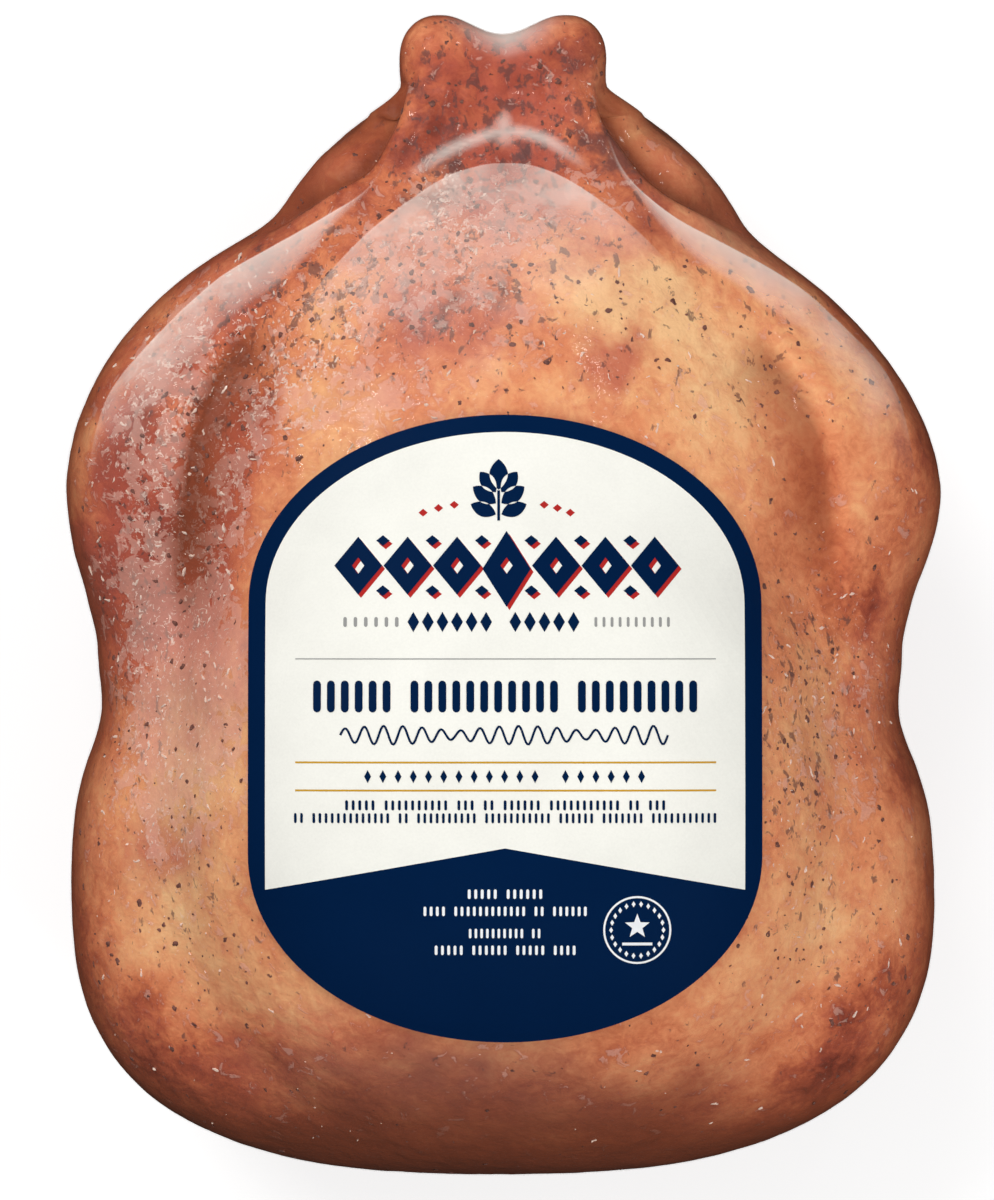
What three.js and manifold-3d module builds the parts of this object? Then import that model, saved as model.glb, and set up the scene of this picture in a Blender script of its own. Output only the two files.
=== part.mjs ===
// A whole roast turkey in a tight clear shrink bag, lying on its back with the breast up, and the
// arched label that is stuck to the bag over the breast. Millimetres, +Z up, +Y towards the hocks,
// origin at the middle of the footprint of the whole pack, on the surface that it lies on.

import * as THREE from 'three';
import Module from 'manifold-3d';
import { mergeVertices } from 'three/addons/utils/BufferGeometryUtils.js';

const wasm = await Module();
wasm.setup();

// ---------------------------------------------------------------- driving sizes

const PACK_LENGTH = 325.6;      // from the shoulder end to the tips of the hocks
const HOCK_HEIGHT = 88;
const SHOULDER_HEIGHT = 62;     // of the foremost point of the shoulder end
const FILM_BLEND = 5;           // how softly the film bridges from one mass of meat to the next
const REST_SINK = 3;            // how far the round back is pressed flat by the pack's own weight

const RING_SIDES = 68;
const RINGS = 54;

const LABEL = {
  width: 142.2,
  centreX: 0.7,
  top: 50.3,                    // the crown of the arch
  archHeight: 52.1,             // from the crown down to the straight sides
  foot: -123.3,                 // the lowest point of the round foot
  footHeight: 51.7,             // from the straight sides down to the foot
  thickness: 0.4,
  lift: 0.3,                    // clearance to the faceted film under it
};

const FILM_COLOUR = 0xc9743f;
const LABEL_COLOUR = 0x0a2244;

// ---------------------------------------------------------------- the outline seen from above

// Half of the pack's width at each station, side by side: rounded lobes of a half width, centred at
// a station, reaching so far along Y. A fullness of 2 is an ellipse, and more is squarer.
const lobe = (half, at, reach, fullness) => ({ half, at, reach, fullness });
const OUTLINE = {
  left: {
    shoulder: lobe(121.8, -80.9, 82, 2.7),
    waist: lobe(114.1, -13, 71.3, 2.4),
    thigh: lobe(122.8, 29.3, 88.6, 2),
    rump: lobe(74.4, 63.5, 84, 2),
  },
  right: {
    shoulder: lobe(122, -81.8, 81, 2.6),
    waist: lobe(112.9, -13, 73.8, 2.4),
    thigh: lobe(123.4, 28.6, 91.4, 1.8),
    rump: lobe(74.8, 72.4, 75, 2),
  },
};
const OUTLINE_BLEND = 3.5;      // rounds the corners between the lobes
const HOCK = { apart: 18.6, radius: 9.9 };          // two knuckles, each this far from the middle
const CAP_START = 143;          // where the cross-sections end and the rounded cap begins
const NOTCH = { half: 17, depth: 5.3, pinch: 0.28, fade: 26 };   // the film's dip between them

// ---------------------------------------------------------------- the masses under the film

const blob = (centre, radii, fullness = 2) => ({ centre, radii, fullness });

// A limb tapers between two round ends.
function limb(from, to, fromRadius, toRadius) {
  const along = to.map((value, i) => value - from[i]);
  const lengthSquared = along.reduce((sum, value) => sum + value * value, 0);
  return { from, along, lengthSquared, fromRadius, toRadius };
}

const MIDDLE_MASSES = [
  blob([0, -50, 82], [94, 98, 74], 2.3),            // breast
  blob([0, 24, 76], [88, 99, 62], 2),               // belly, up to the tip of the breastbone
  blob([0, -78, 60], [116, 81, 60], 2.6),           // shoulders and back
  blob([0, 14, 62], [108, 92, 62], 2.3),            // hips and back
  blob([0, 66, 62], [64, 76, 44], 2.2),             // rump
  limb([-HOCK.apart, 151, HOCK_HEIGHT], [HOCK.apart, 151, HOCK_HEIGHT], 9.6, 9.6),
  limb([-13, 124, HOCK_HEIGHT], [13, 124, HOCK_HEIGHT], 10, 10),
];

// One side of the bird, with side -1 on the left and 1 on the right.
function sideMasses(side) {
  const hip = [side * 87, 12, 70];
  const knee = [side * 85, 48, 74];
  const shin = [side * 36, 104, 85];
  const ankle = [side * 17, 130, HOCK_HEIGHT];
  return [
    blob([side * 30, -56, 96], [58, 84, 60], 2),    // one half of the breast
    blob([side * 70, -66, 64], [46, 84, 46], 2.3),  // folded wing
    limb(hip, knee, 33, 31),                        // thigh
    limb(knee, shin, 31, 16),                       // drumstick
    limb(shin, ankle, 16, 8.5),
    limb(ankle, [side * HOCK.apart, 140, HOCK_HEIGHT], 7.5, 5),
  ];
}

const MASSES = [...MIDDLE_MASSES, ...sideMasses(-1), ...sideMasses(1)];

// About how far a point is outside a rounded mass.
function blobDistance(point, { centre, radii, fullness }) {
  let sum = 1e-12;
  const share = point.map((value, i) => Math.abs(value - centre[i]) / radii[i]);
  for (const value of share) sum += value ** fullness;
  const level = sum ** (1 / fullness);
  const steepness = Math.hypot(...share.map((value, i) => value ** (fullness - 1) / radii[i]));
  return (level - 1) / (steepness * sum ** (1 / fullness - 1));
}

// How far a point is outside a limb.
function limbDistance(point, { from, along, lengthSquared, fromRadius, toRadius }) {
  const reach = point.map((value, i) => value - from[i]);
  const dot = reach.reduce((sum, value, i) => sum + value * along[i], 0);
  const share = Math.min(Math.max(dot / lengthSquared, 0), 1);
  const radius = fromRadius + share * (toRadius - fromRadius);
  return Math.hypot(...reach.map((value, i) => value - share * along[i])) - radius;
}

// How far a point is outside the film, which is drawn tight over all the masses.
function filmDistance(point) {
  const distances = MASSES.map((mass) => (
    mass.radii ? blobDistance(point, mass) : limbDistance(point, mass)
  ));
  const nearest = Math.min(...distances);
  const sum = distances.reduce((total, d) => total + Math.exp((nearest - d) / FILM_BLEND), 0);
  return nearest - FILM_BLEND * Math.log(sum);
}

// ---------------------------------------------------------------- cross-sections

// How far the film is from a point inside it, in a direction, found from outside by steps inwards.
function reachOfFilm(inside, direction) {
  let reach = 170;
  for (let step = 0; step < 60; step++) {
    const gap = filmDistance(inside.map((value, i) => value + reach * direction[i]));
    if (gap < 0.01) break;
    reach = Math.max(reach - 0.9 * gap, 0.01);
  }
  return reach;
}

// The line that every cross-section is measured from runs up from the shoulder end to the hocks.
const axisHeight = (y) => THREE.MathUtils.lerp(SHOULDER_HEIGHT, HOCK_HEIGHT, y / PACK_LENGTH + 0.5);

const HOCK_END = reachOfFilm([0, 0, HOCK_HEIGHT], [0, 1, 0]);
const SHOULDER_END = reachOfFilm([0, 0, SHOULDER_HEIGHT], [0, -1, 0]);

// The film's point in the direction of an angle, from the axis at a station. The rays of a
// cross-section lie flat in it, or all lean towards the hocks.
function filmPoint(station, angle, lean = 0) {
  const squash = (station < 0 ? SHOULDER_END : HOCK_END) / (PACK_LENGTH / 2);
  const centre = [0, station * squash, axisHeight(station)];
  const flat = Math.cos(lean);
  const direction = [Math.cos(angle) * flat, Math.sin(lean), Math.sin(angle) * flat];
  const reach = reachOfFilm(centre, direction);
  const [x, y, z] = centre.map((value, i) => value + reach * direction[i]);
  return [x, y / squash, z];
}

// The outline's half width at a station, from the lobes of one side and the hocks.
function outlineHalf(station, lobes) {
  const halves = Object.values(lobes).map(({ half, at, reach, fullness }) => {
    const share = Math.min(Math.abs(station - at) / reach, 1);
    return half * (1 - share ** fullness) ** (1 / fullness);
  });
  const past = Math.max(station - (PACK_LENGTH / 2 - HOCK.radius), 0) / HOCK.radius;
  if (station > 100) halves.push(HOCK.apart + HOCK.radius * Math.sqrt(Math.max(1 - past * past, 0)));
  const widest = Math.max(...halves);
  const sum = halves.reduce((total, half) => total + Math.exp((half - widest) / OUTLINE_BLEND), 0);
  return widest + OUTLINE_BLEND * Math.log(sum);
}

// What the ring at a station is stretched by on one side, so that it meets the outline there.
function stretchToOutline(station, lobes) {
  let widest = 0;
  for (let degrees = -40; degrees <= 40; degrees += 4) {
    const angle = THREE.MathUtils.degToRad(degrees);
    widest = Math.max(widest, filmPoint(station, angle)[0]);
  }
  return widest > 0.1 ? outlineHalf(station, lobes) / widest : 1;
}

// ---------------------------------------------------------------- the bag with the turkey in it

// A unit sphere with its poles on Y, reshaped ring by ring. Past the start of the hocks the rays
// come from one point, and lean further from ring to ring, which rounds both knuckles.
function bagGeometry() {
  const geometry = new THREE.SphereGeometry(1, RING_SIDES, RINGS);
  const position = geometry.getAttribute('position');
  const capShare = CAP_START / (PACK_LENGTH / 2);
  const stretches = new Map();
  for (let i = 0; i < position.count; i++) {
    const unit = new THREE.Vector3().fromBufferAttribute(position, i);
    const station = Math.min(unit.y * PACK_LENGTH / 2, CAP_START);
    const lean = unit.y > capShare ? Math.PI / 2 - Math.acos(unit.y) / Math.acos(capShare) * Math.PI / 2 : 0;
    const side = Math.sign(unit.x);
    const key = `${station.toFixed(3)} ${side}`;
    if (!stretches.has(key)) {
      stretches.set(key, stretchToOutline(station, side < 0 ? OUTLINE.left : OUTLINE.right));
    }
    const angle = Math.atan2(unit.z, unit.x * (lean > 0 ? 1.8 : 1.4));
    const pole = unit.y < -0.99999;
    const [x, y, z] = pole ? [0, station, SHOULDER_HEIGHT] : filmPoint(station, angle, lean);
    position.setXYZ(i, ...notched(x * stretches.get(key), y, z));
  }
  geometry.deleteAttribute('normal');
  geometry.deleteAttribute('uv');
  return mergeVertices(geometry, 1e-3);
}

// The dip and the pinch of the film between the two hocks, and the flat that the pack rests on.
function notched(x, y, z) {
  const { half, depth, pinch, fade } = NOTCH;
  const end = PACK_LENGTH / 2;
  const level = z - HOCK_HEIGHT;
  const middle = Math.abs(x) < half ? Math.cos((Math.PI * x) / (2 * half)) ** 2 : 0;
  const between = middle * Math.exp(-((level / 18) ** 2));
  const dip = depth * between * THREE.MathUtils.smoothstep(y, end - fade, end);
  const squeeze = pinch * between * THREE.MathUtils.smoothstep(y, end - 2 * fade, end - fade);
  return [x, y - dip, Math.max(z - level * squeeze - REST_SINK, 0)];
}

// ---------------------------------------------------------------- the label

function labelOutline() {
  const { width, centreX, top, archHeight, foot, footHeight } = LABEL;
  const half = width / 2;
  const outline = new THREE.Shape();
  outline.absellipse(centreX, top - archHeight, half, archHeight, 0, Math.PI);
  outline.lineTo(centreX - half, foot + footHeight);
  outline.absellipse(centreX, foot + footHeight, half, footHeight, Math.PI, 2 * Math.PI);
  outline.closePath();
  return outline;
}

// A closed mesh as a solid that can be joined and cut.
function solidOf(geometry) {
  const plain = geometry.clone();
  plain.deleteAttribute('normal');
  plain.deleteAttribute('uv');
  const merged = mergeVertices(plain, 1e-3);
  return new wasm.Manifold(new wasm.Mesh({
    numProp: 3,
    vertProperties: merged.getAttribute('position').array,
    triVerts: new Uint32Array(merged.index.array),
  }));
}

function geometryOf(solid) {
  const { vertProperties, triVerts } = solid.getMesh();
  const geometry = new THREE.BufferGeometry();
  geometry.setAttribute('position', new THREE.BufferAttribute(vertProperties, 3));
  geometry.setIndex(new THREE.BufferAttribute(triVerts, 1));
  geometry.computeVertexNormals();
  return geometry;
}

// What lies between two copies of the bag, one lifted by the clearance and the other by the
// label's thickness more, inside the label's outline.
function labelGeometry(bag) {
  const column = new THREE.ExtrudeGeometry(labelOutline(), {
    depth: 200, bevelEnabled: false, curveSegments: 28,
  });
  column.translate(0, 0, HOCK_HEIGHT);
  const under = bag.translate([0, 0, LABEL.lift]);
  const over = bag.translate([0, 0, LABEL.lift + LABEL.thickness]);
  return geometryOf(over.intersect(solidOf(column)).subtract(under));
}

// ---------------------------------------------------------------- the parts

const bag = bagGeometry();

const baggedTurkey = new THREE.Mesh(
  bag,
  new THREE.MeshStandardMaterial({ color: FILM_COLOUR, roughness: 0.25, metalness: 0 }),
);
baggedTurkey.name = 'bagged_turkey';

const label = new THREE.Mesh(
  labelGeometry(solidOf(bag)),
  new THREE.MeshStandardMaterial({ color: LABEL_COLOUR, roughness: 0.5, metalness: 0 }),
);
label.name = 'label';

const pack = new THREE.Group();
pack.name = 'roast_turkey_pack';
pack.add(baggedTurkey, label);

export default pack;
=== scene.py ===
"""Looks of a whole roast turkey in a tight clear shrink bag, with an arched label over the breast.

The bird's browned skin, the film around it, the specks and beads between the two, and the label
with its print are each made as a piece of their own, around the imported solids.
"""

import math

import bpy
import numpy as np
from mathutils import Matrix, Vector
from mathutils.bvhtree import BVHTree
from mathutils.geometry import delaunay_2d_cdt


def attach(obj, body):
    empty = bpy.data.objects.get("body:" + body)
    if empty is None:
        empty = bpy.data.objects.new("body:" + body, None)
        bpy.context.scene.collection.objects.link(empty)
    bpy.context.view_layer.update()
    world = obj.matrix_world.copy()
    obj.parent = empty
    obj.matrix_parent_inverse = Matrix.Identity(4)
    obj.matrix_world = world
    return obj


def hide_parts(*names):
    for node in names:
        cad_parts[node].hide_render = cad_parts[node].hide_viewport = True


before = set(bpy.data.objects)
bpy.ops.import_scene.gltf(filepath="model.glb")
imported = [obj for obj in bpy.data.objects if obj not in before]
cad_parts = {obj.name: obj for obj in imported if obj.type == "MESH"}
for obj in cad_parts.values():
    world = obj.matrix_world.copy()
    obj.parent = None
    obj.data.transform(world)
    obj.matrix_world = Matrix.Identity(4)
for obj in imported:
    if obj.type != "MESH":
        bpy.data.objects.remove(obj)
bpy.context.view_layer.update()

bl_info = {
    "name": "Bagged Roast Turkey",
    "version": (1, 0, 0),
    "blender": (4, 5, 0),
    "location": "3D View > Sidebar > Roast Turkey",
    "description": "Makes a roast turkey in a clear shrink bag with a label on it, piece by piece",
    "category": "Add Mesh",
}

MM = 0.001
BODY = "root"


# ------ the pack's form, in millimetres

PACK_LENGTH = 325.6
HOCK_HEIGHT = 88.0
SHOULDER_HEIGHT = 62.0
FILM_BLEND = 5.0
REST_SINK = 3.0
SKIN_GAP, FILM_GAP = 0.35, 0.08     # how far inside the tight form the skin and the film lie
CAP_START = 143.0
HOCK_APART, HOCK_RADIUS = 18.6, 9.9
NOTCH_HALF, NOTCH_DEPTH, NOTCH_PINCH, NOTCH_FADE = 17.0, 5.3, 0.28, 26.0
OUTLINE_BLEND = 3.5

# (half width, centre along Y, reach along Y, fullness) of each lobe of the outline from above
OUTLINE = {
    -1: [(121.8, -80.9, 82, 2.7), (114.1, -13, 71.3, 2.4), (122.8, 29.3, 88.6, 2), (74.4, 63.5, 84, 2)],
    1: [(122, -81.8, 81, 2.6), (112.9, -13, 73.8, 2.4), (123.4, 28.6, 91.4, 1.8), (74.8, 72.4, 75, 2)],
}


def blobs_and_limbs():
    """The rounded masses under the film: blobs (centre, radii, fullness), limbs (from, to, radii)."""
    blobs = [
        ((0, -50, 82), (94, 98, 74), 2.3),       # breast
        ((0, 24, 76), (88, 99, 62), 2.0),        # belly, up to the tip of the breastbone
        ((0, -78, 60), (116, 81, 60), 2.6),      # shoulders and back
        ((0, 14, 62), (108, 92, 62), 2.3),       # hips and back
        ((0, 66, 62), (64, 76, 44), 2.2),        # rump
    ]
    limbs = [
        ((-HOCK_APART, 151, HOCK_HEIGHT), (HOCK_APART, 151, HOCK_HEIGHT), 9.6, 9.6),
        ((-13, 124, HOCK_HEIGHT), (13, 124, HOCK_HEIGHT), 10, 10),
    ]
    for side in (-1, 1):
        hip, knee = (side * 87, 12, 70), (side * 85, 48, 74)
        shin, ankle = (side * 36, 104, 85), (side * 17, 130, HOCK_HEIGHT)
        blobs.append(((side * 30, -56, 96), (58, 84, 60), 2.0))     # one half of the breast
        blobs.append(((side * 70, -66, 64), (46, 84, 46), 2.3))     # folded wing
        limbs += [
            (hip, knee, 33, 31),
            (knee, shin, 31, 16),
            (shin, ankle, 16, 8.5),
            (ankle, (side * HOCK_APART, 140, HOCK_HEIGHT), 7.5, 5),
        ]
    return blobs, limbs


BLOBS, LIMBS = blobs_and_limbs()


def film_distance(points):
    """About how far each point is outside the film, which is drawn tight over all the masses."""
    distances = []
    for centre, radii, fullness in BLOBS:
        share = np.abs(points - np.array(centre, float)) / np.array(radii, float)
        lower = share ** (fullness - 1)
        total = (lower * share).sum(-1) + 1e-12
        level = total ** (1 / fullness)
        slope = np.linalg.norm(lower / np.array(radii, float), axis=-1) * level / total
        distances.append((level - 1) / slope)
    for start, end, first, last in LIMBS:
        start, along = np.array(start, float), np.subtract(end, start).astype(float)
        reach = points - start
        share = np.clip(reach @ along / (along @ along), 0, 1)
        gap = np.linalg.norm(reach - share[:, None] * along, axis=-1)
        distances.append(gap - (first + share * (last - first)))
    distances = np.array(distances)
    nearest = distances.min(0)
    return nearest - FILM_BLEND * np.log(np.exp((nearest - distances) / FILM_BLEND).sum(0))


def reach_of_film(centres, directions):
    """How far the film is from points inside it, found from outside by steps inwards."""
    outside, most_steps, step_share, close = 170.0, 60, 0.9, 0.01
    reach = np.full(len(centres), outside)
    active = np.ones(len(centres), bool)
    for _ in range(most_steps):
        gap = film_distance(centres[active] + reach[active, None] * directions[active])
        reach[active] = np.maximum(reach[active] - step_share * gap, close)
        left = np.flatnonzero(active)[gap >= close]
        active[:] = False
        active[left] = True
        if not len(left):
            break
    return reach


def smooth(value, low, high):
    """0 below low and 1 above high, with a soft step between."""
    share = np.clip((value - low) / (high - low), 0, 1)
    return share * share * (3 - 2 * share)


def axis_height(y):
    return SHOULDER_HEIGHT + (HOCK_HEIGHT - SHOULDER_HEIGHT) * (y / PACK_LENGTH + 0.5)


def outline_half(y, side):
    """Half of the pack's width at each station on one side, from its lobes and the hocks."""
    halves = []
    for half, at, reach, fullness in OUTLINE[side]:
        share = np.minimum(np.abs(y - at) / reach, 1)
        halves.append(half * (1 - share ** fullness) ** (1 / fullness))
    past = np.maximum(y - (PACK_LENGTH / 2 - HOCK_RADIUS), 0) / HOCK_RADIUS
    hock = HOCK_APART + HOCK_RADIUS * np.sqrt(np.maximum(1 - past * past, 0))
    halves.append(np.where(y > 100, hock, -1e3))
    halves = np.array(halves)
    widest = halves.max(0)
    return widest + OUTLINE_BLEND * np.log(np.exp((halves - widest) / OUTLINE_BLEND).sum(0))


def film_points(stations, angles, leans):
    """The film's point in the direction of each angle, from the axis at each station."""
    ends = reach_of_film(
        np.array([[0, 0, SHOULDER_HEIGHT], [0, 0, HOCK_HEIGHT]]), np.array([[0, -1.0, 0], [0, 1.0, 0]])
    )
    squash = np.where(stations < 0, ends[0], ends[1]) / (PACK_LENGTH / 2)
    centres = np.stack([0 * stations, stations * squash, axis_height(stations)], -1)
    flat = np.cos(leans)
    directions = np.stack([np.cos(angles) * flat, np.sin(leans), np.sin(angles) * flat], -1)
    points = centres + reach_of_film(centres, directions)[:, None] * directions
    points[:, 1] /= squash
    return points


def stretches(stations, side):
    """What the cross-section at each station is stretched by, so that it meets the outline."""
    degrees = np.arange(-40, 41, 4)
    y, angle = np.meshgrid(stations, np.radians(degrees), indexing="ij")
    widths = film_points(y.ravel(), angle.ravel(), np.zeros(y.size))[:, 0].reshape(y.shape)
    widest = widths.max(1)
    return np.where(widest > 0.1, outline_half(stations, side) / np.maximum(widest, 0.1), 1)


def bag_form(rings, sides):
    """The bag's surface as a grid of points, rings from the shoulder end to the hocks.

    The corners of a ring lie closer together above than below.
    """
    share = np.linspace(0, 1, rings + 1)
    polar = np.pi * share
    heights = -np.cos(polar)
    half = PACK_LENGTH / 2
    cap = np.arccos(CAP_START / half)
    stations = np.clip(heights * half, -half * 0.99999, CAP_START)
    leans = np.where(heights * half > CAP_START, np.pi / 2 - (np.pi - polar) / cap * np.pi / 2, 0)
    turn = np.linspace(0, 2 * np.pi, sides, endpoint=False)
    turn = turn + 0.32 * np.cos(turn)             # crowds the corners towards the top
    x_share = np.cos(turn) * np.where(leans > 0, 1.8, 1.4)[:, None]
    angles = np.arctan2(np.broadcast_to(np.sin(turn), x_share.shape), x_share)
    grid = film_points(
        np.repeat(stations, sides), angles.ravel(), np.repeat(leans, sides)
    ).reshape(rings + 1, sides, 3)
    left, right = stretches(stations, -1), stretches(stations, 1)
    grid[..., 0] *= np.where(grid[..., 0] < 0, left[:, None], right[:, None])
    grid[0] = (0, -half, SHOULDER_HEIGHT)
    grid[-1] = grid[-1].mean(0)
    return grid


def notched(points):
    """The dip and the pinch of the film between the hocks, and the flat that the pack rests on."""
    x, y, z = points[..., 0], points[..., 1], points[..., 2]
    end = PACK_LENGTH / 2
    level = z - HOCK_HEIGHT
    middle = np.where(np.abs(x) < NOTCH_HALF, np.cos(np.pi * x / (2 * NOTCH_HALF)) ** 2, 0)
    between = middle * np.exp(-((level / 18) ** 2))
    dip = NOTCH_DEPTH * between * smooth(y, end - NOTCH_FADE, end)
    squeeze = NOTCH_PINCH * between * smooth(y, end - 2 * NOTCH_FADE, end - NOTCH_FADE)
    return np.stack([x, y - dip, np.maximum(z - level * squeeze - REST_SINK, 0)], -1)


# ------ noise and lines, for relief

class Noise:
    """Smooth noise in three dimensions, from -1 to 1, the same on every run."""

    def __init__(self, seed):
        self.table = np.random.default_rng(seed).uniform(-1, 1, (32, 32, 32))

    def at(self, points):
        cell = np.floor(points).astype(int)
        part = points - cell
        part = part * part * (3 - 2 * part)
        total = 0
        for corner in np.ndindex(2, 2, 2):
            index = (cell + corner) % 32
            weight = np.prod(np.where(np.array(corner) == 1, part, 1 - part), axis=-1)
            total = total + weight * self.table[index[..., 0], index[..., 1], index[..., 2]]
        return total

    def layered(self, points, layers=3):
        total, size = 0, 1.0
        for layer in range(layers):
            total = total + size * self.at(points * 2 ** layer + 7.3 * layer)
            size *= 0.5
        return total


def nearest_on_line(x, y, line):
    """Distance to a line of points, the side that it is on (+ to the right going along the line),
    and the share of the way along."""
    best = np.full(x.shape, 1e9)
    sides, shares = np.zeros(x.shape), np.zeros(x.shape)
    line = np.array(line, float)
    lengths = np.hypot(*np.diff(line, axis=0).T)
    start = 0.0
    for (ax, ay), (bx, by), length in zip(line[:-1], line[1:], lengths):
        ux, uy = (bx - ax) / length, (by - ay) / length
        along = np.clip((x - ax) * ux + (y - ay) * uy, 0, length)
        dx, dy = x - ax - along * ux, y - ay - along * uy
        gap = np.hypot(dx, dy)
        nearer = gap < best
        best = np.where(nearer, gap, best)
        sides = np.where(nearer, np.sign(dx * uy - dy * ux), sides)
        shares = np.where(nearer, (start + along) / lengths.sum(), shares)
        start += length
    return best, sides, shares


def rounded(line, steps=8):
    """A smooth line through the points."""
    points = np.array(line, float)
    ends = np.vstack([2 * points[0] - points[1], points, 2 * points[-1] - points[-2]])
    found = []
    for a, b, c, d in zip(ends[:-3], ends[1:-2], ends[2:-1], ends[3:]):
        for t in np.linspace(0, 1, steps, endpoint=False):
            found.append(0.5 * (2 * b + (c - a) * t + (2 * a - 5 * b + 4 * c - d) * t ** 2
                                + (3 * b - a - 3 * c + d) * t ** 3))
    found.append(points[-1])
    return np.array(found)


# Creases where the thighs meet the breast and where the drumsticks pass the tail, each from its
# upper end: the line, the depth, the width of the soft side, how dark its painted shade is, and the
# side with the steep wall (+1 right of its direction).
CREASES = [(rounded(line), *values) for line, *values in (
    ([(-66, 80), (-76, 69), (-83, 56), (-87.5, 41), (-90, 27), (-92, 10), (-91, -10), (-92, -24)],
     3.8, 13, 0.8, 1),
    ([(69, 77), (76.3, 68), (82.5, 59), (86.7, 49.4), (89.5, 39.6), (91.7, 27), (93.1, 10), (94, -12)],
     4.2, 14, 0.58, -1),
    ([(-29, 146), (-31, 138), (-35, 129), (-40, 121), (-51.7, 114), (-65, 106.5), (-80, 98)],
     5.0, 6.0, 0.75, -1),
    ([(29, 146), (30.4, 136), (34.6, 129), (42, 119.4), (51.4, 113), (62.3, 107.4), (78, 99)],
     5.0, 6.5, 0.8, 1),
)]
STEEP_WIDTH = 2.2
# The film's taut ridge from hock to hock, and the spike that it draws up between them.
WEB_RIDGE = rounded([(-30, 115), (-17.8, 122.8), (-9.4, 126.9), (0.4, 130), (9.4, 128.6), (17, 124.5),
                     (27, 117)])
WEB_SPIKE = rounded([(0.4, 129.5), (0.3, 132), (0.6, 134.5), (0.4, 138)])
# Sharp folds of loose film at the right waist and along the left flank: the line and the width.
FOLDS = [(rounded(line), width) for line, width in (
    ([(99, 14), (104, -2), (110, -14)], 1.4), ([(101, 4), (106, -9), (114, -21)], 1.2),
    ([(96, -4), (102, -20), (111, -31)], 1.5), ([(93, 18), (98, 2), (100, -16)], 1.3),
    ([(-93, 40), (-90, 20), (-88, -2)], 1.6), ([(-96, 22), (-92, 4), (-90, -18)], 1.4),
    ([(-100, 8), (-96, -12), (-97, -30)], 1.5), ([(-104, 30), (-101, 8), (-104, -12)], 1.2),
    ([(-64, 52), (-58, 40), (-56, 26)], 1.3), ([(96, 42), (101, 26), (103, 10)], 1.2),
)]


def ends_faded(share, length):
    """1 along the middle of a line, down to 0 over a share of it at either end."""
    return smooth(share, 0, length) * smooth(1 - share, 0, length)


def bell(value, width):
    """1 at nothing, falling softly to either side."""
    return np.exp(-((value / width) ** 2))


def creases(x, y, up):
    """How deep the creases are at each point of the top, in mm, and how dark their painted shade is."""
    deepest, crease_shade = np.zeros(x.shape), np.zeros(x.shape)
    for line, depth, width, dark, steep in CREASES:
        gap, side, share = nearest_on_line(x, y, line)
        across = gap * side * steep
        wall = np.where(across > 0, bell(across, STEEP_WIDTH), bell(across, width))
        ends = smooth(share, 0, 0.14) * smooth(1 - share, 0, 0.38) * smooth(up, 0.05, 0.4)
        deepest = np.maximum(deepest, depth * wall * ends)
        # painted shade beside each crease, darkest by its steep wall
        crease_shade = np.maximum(crease_shade, dark * wall ** 1.4 * ends)
    return deepest, crease_shade


# ------ mesh helpers

def mesh_piece(name, points, faces, smooth_faces=True):
    """An object at the origin, with its points in millimetres in the row's frame."""
    mesh = bpy.data.meshes.new(name)
    mesh.from_pydata((np.asarray(points, float) * MM).tolist(), [], faces)
    mesh.update()
    if smooth_faces:
        mesh.polygons.foreach_set("use_smooth", np.ones(len(mesh.polygons), bool))
    piece = bpy.data.objects.new(name, mesh)
    bpy.context.scene.collection.objects.link(piece)
    return piece


def ring_faces(rings, sides):
    """Faces of a closed form whose first and last points are poles and whose rings lie between."""
    faces = []
    for side in range(sides):
        after = (side + 1) % sides
        faces.append((0, 1 + side, 1 + after))
        for ring in range(rings - 2):
            here = 1 + ring * sides
            faces.append((here + side, here + sides + side, here + sides + after, here + after))
        last = 1 + (rings - 2) * sides
        faces.append((last + side, last + sides, last + after))
    return faces


def attribute(piece, name, values):
    made = piece.data.attributes.new(name, "FLOAT", "POINT")
    made.data.foreach_set("value", np.asarray(values, np.float32))


def finished(piece, material_slot, *nodes):
    """Puts a piece on the pack's body and hides the imported parts that it stands for, if any."""
    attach(piece, BODY)
    if nodes:
        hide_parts(*nodes)
    return piece


def outward_normals(grid):
    """Normals of a closed grid of rings, from the differences between its neighbours."""
    along = np.gradient(grid, axis=0)
    around = np.roll(grid, -1, 1) - np.roll(grid, 1, 1)
    normals = np.cross(along, around)
    length = np.linalg.norm(normals, axis=-1, keepdims=True)
    normals = normals / np.maximum(length, 1e-9)
    middle = grid.mean((0, 1))
    if ((grid - middle) * normals).sum() < 0:
        normals = -normals
    normals[0], normals[-1] = (0, -1, 0), (0, 1, 0)
    return normals


# ------ shader expressions

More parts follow.
